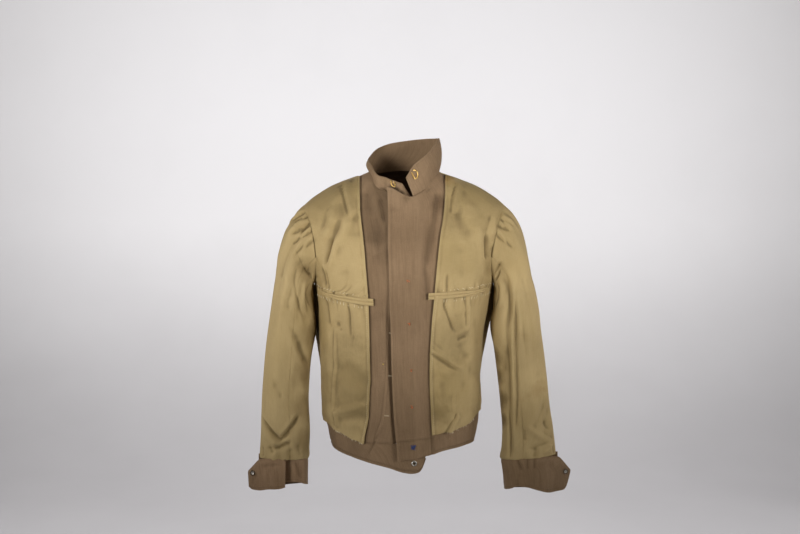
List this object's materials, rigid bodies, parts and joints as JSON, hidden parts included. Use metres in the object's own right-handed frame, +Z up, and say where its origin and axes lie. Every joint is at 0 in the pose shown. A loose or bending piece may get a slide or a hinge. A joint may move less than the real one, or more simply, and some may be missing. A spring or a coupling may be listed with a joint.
{
  "type": "inside-out waist-length jacket",
  "caption": "Waist-length jacket shown inside out: khaki lining, wool facings, standing collar, waistband with a tab and open tabbed cuffs, in its worn form.",
  "frame": {"origin": "between the shoulders, at the foot of the collar, where the wearer's shoulders hold the jacket", "axes": "+Z up, -Y to the front of the wearer, +X to the wearer's left"},
  "size_m": [0.691, 0.2686, 0.7686],
  "materials": {
    "lining": "khaki cotton twill, washed and creased",
    "wool": "brown wool serge, matt and slightly fuzzy",
    "brass": "worn brass wire",
    "steel": "dull plated steel"
  },
  "bodies": {
    "root": {"back_lining": "lining", "front_upper_r": "lining", "front_upper_l": "lining", "front_lower_r": "lining", "front_lower_l": "lining", "sleeve_upper_r": "lining", "sleeve_upper_l": "lining", "sleeve_under_r": "lining", "sleeve_under_l": "lining", "facing_r": "wool", "facing_l": "wool", "fly_strip": "wool", "collar": "wool", "cuff_r": "wool", "cuff_l": "wool", "waistband_r": "wool", "waistband_back": "wool", "waistband_l": "wool", "welt_r": "lining", "welt_l": "lining", "collar_hook_r": "brass", "collar_hook_l": "brass", "waistband_snap": "steel", "cuff_snap_r": "steel", "cuff_snap_l": "steel"}
  },
  "joints": []
}
